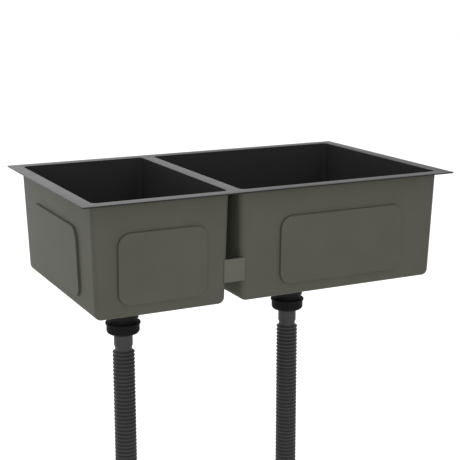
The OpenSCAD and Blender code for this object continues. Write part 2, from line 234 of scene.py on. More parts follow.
def pick(piece: Piece, element: Element, test: Callable[[Vector, Vector], bool]) -> None:
    """Select the edges or faces of a mesh in edit mode that pass a test, and no others.

    Args:
        piece: The piece that is open in edit mode.
        element: Whether edges or faces are selected.
        test: Gets the centre of each one and its direction, which is a face's normal or the
            way that an edge runs.
    """
    bpy.ops.mesh.select_mode(type=element.value)
    bpy.ops.mesh.select_all(action="DESELECT")
    mesh = bmesh.from_edit_mesh(piece.data)
    if element is Element.FACE:
        found = [(face, face.calc_center_median(), face.normal) for face in mesh.faces]
    else:
        ends = [(edge, edge.verts[0].co, edge.verts[1].co) for edge in mesh.edges]
        found = [(edge, (a + b) / 2, (b - a).normalized()) for edge, a, b in ends]
    for item, centre, way in found:
        if test(centre, way):
            item.select_set(True)
    mesh.select_flush_mode()
    bmesh.update_edit_mesh(piece.data)


def settle(piece: Piece, place: Matrix | None = None) -> None:
    """Write a piece's place, turn and scale into its mesh.

    Args:
        piece: The piece.
        place: Where the piece goes first. Without it the piece stays where it is.
    """
    if place is not None:
        piece.matrix_world = place
    activate(piece)
    bpy.ops.object.transform_apply(location=True, rotation=True, scale=True)


def take_new(name: str) -> Piece:
    """Name the primitive that was just added and settle it.

    Args:
        name: The new object's name.

    Returns:
        The new object.
    """
    piece = bpy.context.object
    piece.name = name
    settle(piece)
    return piece


def add_box(name: str, centre: Sequence[float], size: Sequence[float]) -> Piece:
    """Add a box with its place in its mesh.

    Args:
        name: The new object's name.
        centre: The box's centre.
        size: Its three edge lengths.

    Returns:
        The new object.
    """
    clear_selection()
    bpy.ops.mesh.primitive_cube_add(size=1, location=centre, scale=size)
    return take_new(name)


def add_rod(name: str, radius: float, low: Sequence[float], height: float, sides: int) -> Piece:
    """Add an upright rod with its place in its mesh.

    Args:
        name: The new object's name.
        radius: The rod's radius.
        low: The centre of its lower end.
        height: Its height.
        sides: The number of its sides.

    Returns:
        The new object.
    """
    clear_selection()
    centre = (low[0], low[1], low[2] + height / 2)
    bpy.ops.mesh.primitive_cylinder_add(vertices=sides, radius=radius, depth=height, location=centre)
    return take_new(name)


def join(pieces: Sequence[Piece]) -> Piece:
    """Join pieces into the first of them.

    Args:
        pieces: Two or more pieces.

    Returns:
        The first piece, with the others in it.
    """
    activate(pieces[0])
    for piece in pieces:
        piece.select_set(True)
    bpy.ops.object.join()
    return pieces[0]


def apply_modifier(piece: Piece, kind: str, **settings: object) -> None:
    """Add a modifier to a piece and apply it.

    Args:
        piece: The piece that changes.
        kind: The modifier's type.
        settings: The modifier's own settings.
    """
    modifier = piece.modifiers.new(kind.lower(), kind)
    for key, value in settings.items():
        setattr(modifier, key, value)
    activate(piece)
    bpy.ops.object.modifier_apply(modifier=modifier.name)


def combine(piece: Piece, tool: Piece, operation: str) -> None:
    """Cut a tool out of a piece or unite the two, and remove the tool.

    Args:
        piece: The piece that changes.
        tool: The closed mesh that works on it.
        operation: DIFFERENCE or UNION.
    """
    apply_modifier(piece, "BOOLEAN", operation=operation, solver="EXACT", object=tool)
    bpy.data.objects.remove(tool)


def soften_edges(piece: Piece, width: float, angle: float = ROUND_ANGLE) -> None:
    """Round the edges of a piece that are sharper than an angle, by a width."""
    apply_modifier(piece, "BEVEL", width=width, segments=2, limit_method="ANGLE", angle_limit=angle,
                   harden_normals=False)


def thicken(piece: Piece, thickness: float, outwards: bool) -> None:
    """Give an open shell its wall.

    Args:
        piece: The shell, with its faces turned outwards.
        thickness: The wall's thickness.
        outwards: Whether the wall grows outwards or inwards.
    """
    offset = 1.0 if outwards else -1.0
    apply_modifier(piece, "SOLIDIFY", thickness=thickness, offset=offset, use_even_offset=True)


def round_edges(piece: Piece, axis: int, radius: float, steps: int) -> None:
    """Round the edges of a box that run along one axis.

    Args:
        piece: The box.
        axis: 0 for X, 1 for Y or 2 for Z.
        radius: The rounding's radius.
        steps: The number of its steps.
    """
    start_edit(piece)
    pick(piece, Element.EDGE, lambda centre, way: abs(way[axis]) > ALONG)
    bpy.ops.mesh.bevel(offset=radius, segments=steps, affect="EDGES")
    end_edit()


def close_mesh(piece: Piece) -> None:
    """Merge doubled points and turn all faces outwards.

    Args:
        piece: The piece to clean.
    """
    start_edit(piece)
    pick_all(Element.VERTEX)
    bpy.ops.mesh.remove_doubles(threshold=MERGE)
    bpy.ops.mesh.normals_make_consistent(inside=False)
    end_edit()


def softened(points: Outline, radius: float, closed: bool = True) -> Outline:
    """Round the corners of an outline.

    Args:
        points: The corners, as radius and height.
        radius: How far from each corner its rounding starts, at most.
        closed: Whether the last point joins the first.

    Returns:
        The outline with its corners rounded.
    """
    steps = 3
    most = 0.45
    rounded: Outline = []
    last = len(points) - 1
    for i, point in enumerate(points):
        if not closed and i in (0, last):
            rounded.append(point)
            continue
        corner = Vector(point)
        before = Vector(points[i - 1]) - corner
        after = Vector(points[(i + 1) % len(points)]) - corner
        start = corner + before.normalized() * min(radius, before.length * most)
        end = corner + after.normalized() * min(radius, after.length * most)
        for k in range(steps + 1):
            t = k / steps
            spot = start.lerp(corner, t).lerp(corner.lerp(end, t), t)
            rounded.append((spot.x, spot.y))
    return rounded


def extrude_rings(axis_x: float, outline: Outline) -> None:
    """Extrude the selected ring of edges from point to point of an outline.

    Args:
        axis_x: Where the upright axis stands.
        outline: The radius and height of each ring. The first is the selected one.
    """
    rings = [(max(radius, POINT_R), height) for radius, height in outline]
    for (radius, height), (next_radius, next_height) in zip(rings, rings[1:]):
        bpy.ops.mesh.extrude_edges_move(TRANSFORM_OT_translate={"value": (0, 0, next_height - height)})
        growth = next_radius / radius
        bpy.ops.transform.resize(value=(growth, growth, 1), center_override=(axis_x, 0, next_height))


def turned(name: str, axis_x: float, outline: Outline, closed: bool = True, sides: int = 96) -> Piece:
    """Turn an outline about an upright axis, ring by ring.

    Args:
        name: The new object's name.
        axis_x: Where the axis stands.
        outline: The radius and height of each ring.
        closed: Whether the last ring joins the first. Otherwise both lie on the axis.
        sides: The number of sides of each ring.

    Returns:
        The new object, closed and with its faces outwards.
    """
    radius, height = outline[0]
    clear_selection()
    bpy.ops.mesh.primitive_circle_add(
        vertices=sides, radius=max(radius, POINT_R), fill_type="NOTHING", location=(axis_x, 0, height))
    piece = take_new(name)
    start_edit(piece)
    pick_all(Element.EDGE)
    extrude_rings(axis_x, outline + outline[:1] if closed else outline)
    close_mesh(piece)
    return piece


def around(axis_x: float, radius: float, count: int, start: float = 0.0) -> list[tuple[float, float, float]]:
    """Give places spaced evenly round an axis.

    Args:
        axis_x: Where the axis stands.
        radius: The circle's radius.
        count: The number of places.
        start: The first place's angle.

    Returns:
        The X, the Y and the angle of each place.
    """
    turns = [start + 2 * math.pi * i / count for i in range(count)]
    return [(axis_x + radius * math.cos(t), radius * math.sin(t), t) for t in turns]


# Node materials


class Graph:
    """A node tree that is built by naming nodes and what feeds them."""

    def __init__(self, tree: Tree) -> None:
        """Keep the tree that the nodes go into."""
        self.tree = tree

    def feed(self, node: Node, inputs: dict) -> None:
        """Link or set the inputs of a node.

        Args:
            node: The node that is fed.
            inputs: Value or output socket for each named or numbered input.
        """
        for key, value in inputs.items():
            if isinstance(value, Socket):
                self.tree.links.new(value, node.inputs[key])
            else:
                node.inputs[key].default_value = value

    def node(self, kind: str, inputs: dict | None = None, **settings: object) -> Node:
        """Add a node.

        Args:
            kind: The node's type.
            inputs: Value or output socket for each named or numbered input.
            settings: The node's own settings.

        Returns:
            The new node.
        """
        node = self.tree.nodes.new(kind)
        for key, value in settings.items():
            setattr(node, key, value)
        self.feed(node, inputs or {})
        return node

    def maths(self, operation: str, a: object, b: object = 0.0, clamp: bool = False) -> Socket:
        """Add a Math node and return its result."""
        return self.node("ShaderNodeMath", {0: a, 1: b}, operation=operation, use_clamp=clamp).outputs[0]

    def span(self, value: object, low: float, high: float, to_low: float, to_high: float) -> Socket:
        """Map a value from one range to another, clamped, and return it."""
        ranges = {"Value": value, "From Min": low, "From Max": high, "To Min": to_low, "To Max": to_high}
        return self.node("ShaderNodeMapRange", ranges, clamp=True).outputs["Result"]

    def mix(self, share: object, first: object, second: object) -> Socket:
        """Mix two colours by a share and return the result."""
        return self.node("ShaderNodeMix", {0: share, 6: first, 7: second}, data_type="RGBA").outputs[2]

    def noise(self, vector: object, scale: object, detail: float, roughness: float = 0.6) -> Socket:
        """Add a noise texture and return its value."""
        inputs = {"Vector": vector, "Scale": scale, "Detail": detail, "Roughness": roughness}
        return self.node("ShaderNodeTexNoise", inputs).outputs[0]

    def place(self) -> Socket:
        """Return the place of each point on its object."""
        return self.node("ShaderNodeTexCoord").outputs["Object"]

    def along(self, vector: Socket, axis: str) -> Socket:
        """Return how far a vector reaches along an axis."""
        return self.node("ShaderNodeSeparateXYZ", {0: vector}).outputs[axis]

    def upward(self) -> Socket:
        """Return how much the surface looks up, from -1 to 1."""
        return self.along(self.node("ShaderNodeNewGeometry").outputs["Normal"], "Z")

    def attribute(self, name: str) -> Socket:
        """Return a number stored on the mesh, or 0 where it has none."""
        return self.node("ShaderNodeAttribute", attribute_name=name).outputs["Fac"]

    def bump(self, height: Socket, strength: float, relief: float) -> Socket:
        """Return the normal of a surface with a fine relief."""
        inputs = {"Strength": strength, "Distance": relief, "Height": height}
        return self.node("ShaderNodeBump", inputs).outputs[0]

    def group(self, name: str, inputs: dict) -> Node:
        """Add one of the shared effects and return its node."""
        return self.node("ShaderNodeGroup", inputs, node_tree=EFFECTS[name])


def new_group(name: str, inputs: dict[str, float], outputs: Sequence[str]) -> tuple[Graph, dict, Node]:
    """Start a shader node group with number sockets.

    Args:
        name: The group's name.
        inputs: Each input's name and value.
        outputs: The outputs' names.

    Returns:
        The group's graph, its input sockets by name and the node that takes its outputs.
    """
    tree = bpy.data.node_groups.new(name, "ShaderNodeTree")
    number = "NodeSocketFloat"
    for key, value in inputs.items():
        socket = tree.interface.new_socket(name=key, in_out="INPUT", socket_type=number)
        socket.default_value = value
    for key in outputs:
        tree.interface.new_socket(name=key, in_out="OUTPUT", socket_type=number)
    graph = Graph(tree)
    source = graph.node("NodeGroupInput")
    return graph, {key: source.outputs[key] for key in inputs}, graph.node("NodeGroupOutput")


def grain_group() -> Tree:
    """Build the fine grain and the soft mottle that paint, plastic and rubber share.

    Returns:
        The group.
    """
    graph, given, result = new_group("surface_grain", {"Grain": 900.0, "Mottle": 14.0}, ["Height", "Mottle"])
    contrast = (0.32, 0.68)
    place = graph.place()
    mottle = graph.noise(place, given["Mottle"], detail=4.0)
    graph.feed(result, {
        "Height": graph.noise(place, given["Grain"], detail=3.0, roughness=0.55),
        "Mottle": graph.span(mottle, *contrast, 0.0, 1.0)})
    return graph.tree


def brush_group() -> Tree:
    """Build straight brush lines. Each stretch squeezes the lines along its axis.

    Returns:
        The group.
    """
    stretches = {"Stretch X": 6.0, "Stretch Y": 900.0, "Stretch Z": 900.0}
    graph, given, result = new_group("brush_lines", stretches, ["Height", "Streak"])
    contrast = (0.38, 0.62)
    fine_share, broad_share, broad_scale = 0.45, 0.55, 0.13
    axes = {axis: given["Stretch " + axis] for axis in "XYZ"}
    stretch = graph.node("ShaderNodeCombineXYZ", axes).outputs[0]
    factors = {0: graph.place(), 1: stretch}
    lines = graph.node("ShaderNodeVectorMath", factors, operation="MULTIPLY").outputs[0]
    fine = graph.noise(lines, 1.0, detail=2.0)
    broad = graph.noise(lines, broad_scale, detail=3.0)
    mixed = graph.maths("ADD", graph.maths("MULTIPLY", fine, fine_share),
                        graph.maths("MULTIPLY", broad, broad_share))
    graph.feed(result, {"Height": fine, "Streak": graph.span(mixed, *contrast, 0.0, 1.0)})
    return graph.tree


def dust_group() -> Tree:
    """Build the thin dust that lies on faces that look up.

    Returns:
        The group.
    """
    graph, given, result = new_group("settled_dust", {"Amount": 0.3, "Scale": 60.0}, ["Mask"])
    contrast, thinnest, steepest = (0.35, 0.7), 0.2, 0.2
    noise = graph.noise(graph.place(), given["Scale"], detail=4.0)
    cloud = graph.span(noise, *contrast, thinnest, 1.0)
    mask = graph.maths("MULTIPLY", graph.span(graph.upward(), steepest, 1.0, 0.0, 1.0), cloud)
    graph.feed(result, {"Mask": graph.maths("MULTIPLY", mask, given["Amount"], clamp=True)})
    return graph.tree


EFFECTS = {"grain": grain_group(), "brush": brush_group(), "dust": dust_group()}


def start_material(name: str) -> tuple[Material, Graph, Node]:
    """Start a node material.

    Args:
        name: The material's name.

    Returns:
        The material, its graph and its shader.
    """
    material = bpy.data.materials.new(name)
    material.use_nodes = True
    return material, Graph(material.node_tree), material.node_tree.nodes["Principled BSDF"]


def grey(level: float, warmth: float = 0.0) -> Colour:
    """Give the linear colour of a screen grey.

    Args:
        level: The grey on the screen, from 0 to 255.
        warmth: How much lower its blue is.

    Returns:
        The colour.
    """
    def linear(value: float) -> float:
        """Undo the screen's curve."""
        share = value / 255
        return share / 12.92 if share <= 0.04045 else ((share + 0.055) / 1.055) ** 2.4
    return linear(level), linear(level), linear(level - warmth), 1.0


BLACK = grey(0)


@dataclass(frozen=True)
class SprayedCoat:
    """Matt sprayed sound coat, with painted shade where a raised field meets the wall."""

    name: str
    light: Colour
    dark: Colour
    # Colour of the painted shade at the foot and side face of each raised field
    foot: Colour
    grain: float = 1400.0
    contrast: tuple[float, float] = (0.3, 0.7)
    mottle: float = 9.0
    roughness: float = 0.72
    spread: float = 0.06
    specular: float = 0.25
    strength: float = 0.35
    relief: float = 0.0002

    def material(self) -> Material:
        """Build the material.

        Returns:
            The material.
        """
        material, graph, shader = start_material(self.name)
        grain = graph.group("grain", {"Grain": self.grain, "Mottle": self.mottle}).outputs
        base = graph.mix(grain["Mottle"], self.light, self.dark)
        smoothest, roughest = self.roughness - self.spread, self.roughness + self.spread
        graph.feed(shader, {
            # Painted shade round the raised fields, read from the mesh
            "Base Color": graph.mix(graph.attribute("foot"), base, self.foot),
            "Roughness": graph.span(grain["Height"], *self.contrast, smoothest, roughest),
            "Specular IOR Level": self.specular,
            "Normal": graph.bump(grain["Height"], self.strength, self.relief)})
        return material


@dataclass(frozen=True)
class BrushedSteel:
    """Brushed sheet steel, bare or with a dark plating."""

    name: str
    light: Colour
    dark: Colour
    stretch: tuple[float, float, float]
    roughness: float = 0.4
    spread: float = 0.05
    metallic: float = 1.0
    specular: float = 0.5
    strength: float = 0.5
    relief: float = 0.00003

    def base_colour(self, graph: Graph, streak: Socket) -> Socket:
        """Mix the two greys by the brush lines."""
        return graph.mix(streak, self.light, self.dark)

    def material(self) -> Material:
        """Build the material.

        Returns:
            The material.
        """
        material, graph, shader = start_material(self.name)
        stretches = {"Stretch " + axis: value for axis, value in zip("XYZ", self.stretch)}
        brush = graph.group("brush", stretches).outputs
        smoothest, roughest = self.roughness - self.spread, self.roughness + self.spread
        graph.feed(shader, {
            "Base Color": self.base_colour(graph, brush["Streak"]),
            "Roughness": graph.span(brush["Streak"], 0.0, 1.0, smoothest, roughest),
            "Metallic": self.metallic,
            "Specular IOR Level": self.specular,
            "Normal": graph.bump(brush["Height"], self.strength, self.relief)})
        return material


@dataclass(frozen=True)
class CutSheet(BrushedSteel):
    """Brushed sheet steel with dull cut edges painted dark, partly as painted shade, and painted shade
    towards its right end.
    """

    # The cut edges' dark grey, partly their own dull colour and partly painted shade; the right end's painted
    # shade mixes towards it too
    edge: Colour = BLACK
    edge_upward: float = 0.45
    sheet_upward: float = 0.85
    grazing: float = 0.82
    # Painted shade towards the right end: its strength, and the X over which it comes in
    right_shade: float = 0.46
    right_shade_start: float = -0.11
    right_shade_end: float = 0.02

    def edge_or_sheet(self, graph: Graph, on_edge: float, on_sheet: float) -> Socket:
        """Give one value on the cut edges and another on what faces up or down."""
        flat = graph.maths("ABSOLUTE", graph.upward())
        return graph.span(flat, self.edge_upward, self.sheet_upward, on_edge, on_sheet)

    def base_colour(self, graph: Graph, streak: Socket) -> Socket:
        """Mix the two greys by the brush lines, paint shade onto the right end, and darken the cut edges,
        partly as painted shade.

        Args:
            graph: The material's graph.
            streak: The brush lines.

        Returns:
            The colour.
        """
        x = graph.along(graph.place(), "X")
        # Painted shade, growing towards the sheet's right end
        right_shade_share = graph.span(x, self.right_shade_start, self.right_shade_end, 0.0, self.right_shade)
        right_shaded = graph.mix(right_shade_share, super().base_colour(graph, streak), self.edge)
        return graph.mix(self.edge_or_sheet(graph, 1.0, 0.0), right_shaded, self.edge)

    def material(self) -> Material:
        """Build the material.

        Returns:
            The material.
        """
        material = super().material()
        graph = Graph(material.node_tree)
        graph.feed(material.node_tree.nodes["Principled BSDF"], {
            "Metallic": self.edge_or_sheet(graph, 0.0, self.metallic),
            "Specular Tint": (self.grazing, self.grazing, self.grazing, 1.0)})
        return material


@dataclass(frozen=True)
class MouldedPlastic:
    """Moulded plastic or rubber with a fine grain, a little dust, and painted shade between ribs."""

    name: str
    light: Colour
    dark: Colour
    dust: Colour
    dust_amount: float = 0.15
    # How dark the painted shade between ribs gets at the bottom of a valley
    valley_shade: float = 0.4
    grain: float = 1600.0
    mottle: float = 30.0
    roughness: float = 0.5
    smoother: float = 0.05
    rougher: float = 0.07
    specular: float = 0.4
    strength: float = 0.4
    relief: float = 0.00006

    def material(self) -> Material:
        """Build the material.

        Returns:
            The material.
        """
        material, graph, shader = start_material(self.name)
        grain = graph.group("grain", {"Grain": self.grain, "Mottle": self.mottle}).outputs
        dust = graph.group("dust", {"Amount": self.dust_amount}).outputs["Mask"]
        dusty = graph.mix(dust, graph.mix(grain["Mottle"], self.light, self.dark), self.dust)
        # Painted shade in the rib valleys, from how deep each point lies
        valley_shade = graph.maths("MULTIPLY", graph.attribute("valley"), self.valley_shade)
        smoothest, roughest = self.roughness - self.smoother, self.roughness + self.rougher
        graph.feed(shader, {
            "Base Color": graph.mix(valley_shade, dusty, BLACK),
            "Roughness": graph.span(grain["Mottle"], 0.0, 1.0, smoothest, roughest),
            "Specular IOR Level": self.specular,
            "Normal": graph.bump(grain["Height"], self.strength, self.relief)})
        return material


FINISHES = {
    # The rim's cut edges are painted dark, partly as painted shade
    "rim_steel": CutSheet("rim_plating", grey(112), grey(105), stretch=(5.0, 700.0, 700.0), roughness=0.45,
                          specular=0.08, edge=grey(52)),
    "bowl_black": BrushedSteel("bowl_plating", grey(53), grey(51), stretch=(900.0, 900.0, 6.0), roughness=0.6,
                               metallic=0.0, specular=0.05),
    "sound_coat": SprayedCoat("sound_coat", grey(101, 10), grey(96, 10), foot=grey(55, 6)),
    "strap_coat": SprayedCoat("strap_coat", grey(115, 10), grey(110, 10), foot=grey(55, 6)),
    "pad_rubber": MouldedPlastic("pad_rubber", grey(60), grey(50), dust=grey(90)),
    "gasket_rubber": MouldedPlastic("gasket_rubber", grey(38), grey(30), dust=grey(80), roughness=0.65),
    "strainer_plastic": MouldedPlastic("strainer_plastic", grey(42), grey(37), dust=grey(56), specular=0.06),
    "nut_plastic": MouldedPlastic("nut_plastic", grey(38), grey(34), dust=grey(60), specular=0.03),
    "hose_plastic": MouldedPlastic("hose_plastic", grey(84), grey(78), dust=grey(102), specular=0.12),
    "strainer_steel": BrushedSteel("strainer_steel", grey(178), grey(169), stretch=(1100.0, 1100.0, 1100.0),
                                   roughness=0.3),
}
MATERIALS = {slot: look.material() for slot, look in FINISHES.items()}


def dress(piece: Piece, slot: str) -> None:
    """Give a piece the material of a slot."""
    piece.data.materials.clear()
    piece.data.materials.append(MATERIALS[slot])


def finish(piece: Piece, slot: str, node: str, body: Body = Body.SINK) -> None:
    """Shade and dress a piece, let it ride and put it in place of its CAD node.

    Args:
        piece: The finished mesh.
        slot: The material slot that it takes its finish from.
        node: The CAD node that it stands for.
        body: The body that it rides on.
    """
    activate(piece)
    bpy.ops.object.shade_smooth_by_angle(angle=SHADE_ANGLE)
    dress(piece, slot)
    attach(piece, body.value)
    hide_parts(node)
    log.info("%s: %d faces for %s", piece.name, len(piece.data.polygons), node)


# Sink


@dataclass
class RimPlate:
    """The flat plate with its two openings."""

    edge: float = 0.0003
    corner_steps: int = 5
    cutter_h: float = 0.02
    sizes: SinkSizes = SIZES

    def build(self) -> None:
        """Model and dress the plate."""
        sizes = self.sizes
        plate = add_box("rim", (0, 0, sizes.rim_t / 2), (sizes.width, sizes.depth, sizes.rim_t))
        round_edges(plate, 2, sizes.rim_corner, self.corner_steps)
        for side in SIDES:
            cutter = add_box(side.name, (side.x, 0, 0), (side.width, sizes.opening_d, self.cutter_h))
            round_edges(cutter, 2, sizes.corner, sizes.corner_steps)
            combine(plate, cutter, "DIFFERENCE")
        soften_edges(plate, self.edge)
        finish(plate, "rim_steel", "rim_plate")


@dataclass
class Tub:
    """An open drafted box with round corners and a floor that falls to a round edge."""

    name: str
    side: Side
    out: float
    drain_r: float
    floor_steps: int = 7
    level: float = 0.999
    sizes: SinkSizes = SIZES

    @property
    def drain_z(self) -> float:
        """Height of the floor at the drain."""
        return self.sizes.dish_z - self.out

    def build(self) -> Piece:
        """Model the shell from a box, and leave it in edit mode with its drain edge selected.

        Returns:
            The shell.
        """
        sizes, x = self.sizes, self.side.x
        floor_z = sizes.floor_z - self.out
        wide, deep = self.side.width + 2 * self.out, sizes.opening_d + 2 * self.out
        lean = -floor_z * math.tan(sizes.draft)
        shell = add_box(self.name, (x, 0, floor_z / 2), (wide, deep, -floor_z))
        start_edit(shell)
        pick(shell, Element.FACE, lambda centre, normal: normal.z < -ALONG)
        bpy.ops.transform.resize(value=(1 - 2 * lean / wide, 1 - 2 * lean / deep, 1),
                                 center_override=(x, 0, floor_z))
        pick(shell, Element.FACE, lambda centre, normal: normal.z > ALONG)
        bpy.ops.mesh.delete(type="ONLY_FACE")
        pick(shell, Element.EDGE, lambda centre, way: abs(way.z) > ALONG)
        bpy.ops.mesh.bevel(offset=sizes.corner + self.out, segments=sizes.corner_steps, affect="EDGES")
        pick(shell, Element.EDGE, lambda centre, way: centre.z < floor_z + NEAR)
        bpy.ops.mesh.bevel(offset=sizes.floor_r + self.out, segments=self.floor_steps, affect="EDGES")
        pick(shell, Element.FACE, lambda centre, normal: normal.z < -self.level)
        bpy.ops.mesh.delete(type="ONLY_FACE")
        edges = 4 * (sizes.corner_steps + 1)
        bpy.ops.mesh.primitive_circle_add(
            vertices=edges, radius=self.drain_r, fill_type="NOTHING", location=(x, 0, self.drain_z),
            rotation=(0, 0, math.pi / edges))
        pick(shell, Element.EDGE, lambda centre, way: centre.z < floor_z + NEAR)
        bpy.ops.mesh.bridge_edge_loops()
        pick(shell, Element.EDGE, lambda centre, way: centre.z < self.drain_z + NEAR)
        return shell


@dataclass
class Bowl:
    """One bowl of black plated steel with the seat pressed round its drain."""

    side: Side
    seat_margin: float = 0.003
    press_r: float = 0.0012
    sizes: SinkSizes = SIZES

    def build(self) -> None:
        """Model and dress the bowl."""
        sizes = self.sizes
        edge_r = sizes.seat_r + self.seat_margin
        tub = Tub(self.side.named("bowl_steel"), self.side, 0.0, edge_r)
        shell = tub.build()
        extrude_rings(self.side.x, softened([
            (edge_r, tub.drain_z), (sizes.seat_r, tub.drain_z),
            (sizes.seat_r, sizes.seat_z), (sizes.hole_r, sizes.seat_z),
        ], self.press_r, closed=False))
        close_mesh(shell)
        thicken(shell, sizes.steel, outwards=True)
        finish(shell, "bowl_black", self.side.named("bowl"))


@dataclass(frozen=True)
class FootShade:
    """How dark the painted shade round a raised field is on each of its sides, from 0 to 1."""

    left: float
    top: float
    right: float
    bottom: float

    def at(self, place: Vector, flat_x: float, flat_y: float) -> float:
        """Blend the sides' values round the corners.

        Args:
            place: A point of the line, from the field's middle.
            flat_x: Half the length of the field's straight top and bottom.
            flat_y: Half the length of its straight sides.

        Returns:
            How dark the painted shade is there.
        """
        over_x = max(abs(place.x) - flat_x, 0.0)
        over_y = max(abs(place.y) - flat_y, 0.0)
        share = over_x ** 2 / max(over_x ** 2 + over_y ** 2, LEAST_SQUARE)
        side = self.right if place.x > 0 else self.left
        end = self.top if place.y > 0 else self.bottom
        return side * share + end * (1 - share)


# Painted shade round the raised fields, stronger on the sides that lie in shade
FOOT_SHADES = {
    Wall.FRONT: FootShade(left=0.55, top=0.25, right=0.2, bottom=0.2),
    Wall.LEFT: FootShade(left=0.4, top=0.1, right=0.6, bottom=0.3),
    Wall.RIGHT: FootShade(left=0.6, top=0.1, right=0.4, bottom=0.3),
    Wall.BACK: FootShade(left=0.4, top=0.2, right=0.4, bottom=0.3),
}


@dataclass(frozen=True)
class Inset:
    """One step up a raised field: how far in and up it goes, and how dark the painted shade at its foot is
    there.
    """

    inward: float
    rise: float
    foot: float


@dataclass
class RaisedField:
    """The raised field that the coat makes over a glued pad."""

    wall: Wall
    width: float
    height: float
    corner: float = 0.025
    corner_steps: int = 16
    skirt: float = 0.0016
    # The painted foot shade is darkest on the field's side face and fades at its foot and onto its top
    steps: tuple[Inset, ...] = (
        Inset(0.0009, 0.00015, 0.35),
        Inset(0.0007, 0.00015, 1.0),
        Inset(0.0005, 0.0033, 0.95),
        Inset(0.0004, 0.0009, 0.45),
        Inset(0.0008, 0.0005, 0.0),
    )

    def shade_foot(self, slab: Piece) -> None:
        """Store on the field how dark the painted shade at its foot is at each point.

        Args:
            slab: The field, lying flat round its middle.
        """
        levels = [(0.0, 0.0)]
        for step in self.steps:
            levels.append((levels[-1][0] + step.rise, step.foot))
        foot_line = slab.data.attributes.new("foot", "FLOAT", "POINT")
        flat_x, flat_y = self.width / 2 - self.corner, self.height / 2 - self.corner
        for vertex in slab.data.vertices:
            _, foot = min(levels, key=lambda level: abs(level[0] - vertex.co.z))
            dark = foot * FOOT_SHADES[self.wall].at(vertex.co, flat_x, flat_y)
            foot_line.data[vertex.index].value = dark

    def build(self, x: float, reach: float, middle: float, draft: float) -> Piece:
        """Model the field and stand it against its wall.

        Args:
            x: The bowl's centre.
            reach: Distance from the bowl's centre to the wall's outside at the rim.
            middle: Height of the field's middle, measured along the wall.
            draft: The wall's lean.

        Returns:
            The field as a closed mesh with its painted foot shade attribute.
        """
        clear_selection()
        bpy.ops.mesh.primitive_plane_add(size=1)
        slab = take_new("raised_field")
        settle(slab, Matrix.Diagonal((self.width + 2 * self.skirt, self.height + 2 * self.skirt, 1, 1)))
        start_edit(slab)
        pick_all(Element.VERTEX)
        bpy.ops.mesh.bevel(offset=self.corner + self.skirt, segments=self.corner_steps, affect="VERTICES")
        pick_all(Element.FACE)
        for step in self.steps:
            bpy.ops.mesh.inset(thickness=step.inward, depth=step.rise, use_even_offset=True)
        pick(slab, Element.EDGE, lambda centre, way: centre.z < NEAR)
        bpy.ops.mesh.edge_face_add()
        end_edit()
        self.shade_foot(slab)
        close_mesh(slab)
        settle(slab, Matrix.Translation((x, 0, 0)) @ Matrix.Rotation(self.wall.value, 4, "Z")
               @ Matrix.Translation((0, -reach, 0)) @ Matrix.Rotation(math.pi / 2 + draft, 4, "X")
               @ Matrix.Translation((0, middle, -GAP)))
        return slab


@dataclass
class Coat:
    """The sprayed coat of one bowl, with its three raised fields."""

    side: Side
    depth_margin: float = 0.085
    field_top: float = -0.0555
    field_h: float = 0.1355
    wall_t: float = 0.0010
    drain_r: float = 0.0600
    sizes: SinkSizes = SIZES

    def build(self) -> None:
        """Model and dress the coat."""
        sizes, side = self.sizes, self.side
        shell = Tub(side.named("coat_skin"), side, sizes.skin, self.drain_r).build()
        close_mesh(shell)
        thicken(shell, self.wall_t, outwards=False)
        # The coat's own wall gets no painted foot shade
        shell.data.attributes.new("foot", "FLOAT", "POINT")
        middle = self.field_top - self.field_h / 2
        wide, deep = side.width + 2 * sizes.skin, sizes.opening_d + 2 * sizes.skin
        parts = [shell]
        for wall in (Wall.FRONT, Wall.BACK, side.outer_wall):
            across = wall in (Wall.FRONT, Wall.BACK)
            length = wide - 2 * side.field_margin if across else deep - 2 * self.depth_margin
            reach = (deep if across else wide) / 2
            parts.append(RaisedField(wall, length, self.field_h).build(side.x, reach, middle, sizes.draft))
        finish(join(parts), "sound_coat", side.named("coat"))


@dataclass
class FrontStrap:
    """The flat strap between the front corners of the two bowls."""

    left: float = -0.10925
    right: float = -0.06575
    top: float = -0.128
    height: float = 0.045
    thickness: float = 0.0012
    edge: float = 0.00035
    sizes: SinkSizes = SIZES

    def build(self) -> None:
        """Model and dress the strap."""
        sizes = self.sizes
        strap = add_box("strap", (0, 0, 0), (self.right - self.left, self.height, self.thickness))
        soften_edges(strap, self.edge)
        middle = ((self.left + self.right) / 2, self.top - self.height / 2, -self.thickness / 2)
        settle(strap, Matrix.Translation((0, -sizes.opening_d / 2 - sizes.skin, 0))
               @ Matrix.Rotation(math.pi / 2 + sizes.draft, 4, "X") @ Matrix.Translation(middle))
        finish(strap, "strap_coat", "front_strap")


# Drain


@dataclass
class DrainGroup:
    """Some of the pieces that stand round the upright axis of one drain."""

    side: Side

    def turn(self, name: str, points: Outline, rounding: float, closed: bool = True,
             sides: int = 96) -> Piece:
        """Turn an outline about the drain's axis, with its corners rounded.

        Args:
            name: The piece's name without its side.
            points: The outline's corners.
            rounding: How far from each corner its rounding starts.
            closed: Whether the last point joins the first. Otherwise both lie on the axis.
            sides: The number of sides of each ring.

        Returns:
            The piece.
        """
        return turned(self.side.named(name), self.side.x, softened(points, rounding, closed), closed, sides)

    def ring(self, name: str, radii: tuple[float, float], heights: tuple[float, float], rounding: float,
             sides: int = 96) -> Piece:
        """Turn a plain ring with rounded edges.

        Args:
            name: The ring's name without its side.
            radii: Its inner and outer radius.
            heights: Its lower and upper height.
            rounding: The rounding of its edges.
            sides: The number of its sides.

        Returns:
            The ring.
        """
        (inner, outer), (low, high) = radii, heights
        points = [(inner, low), (outer, low), (outer, high), (inner, high)]
        return self.turn(name, points, rounding, sides=sides)


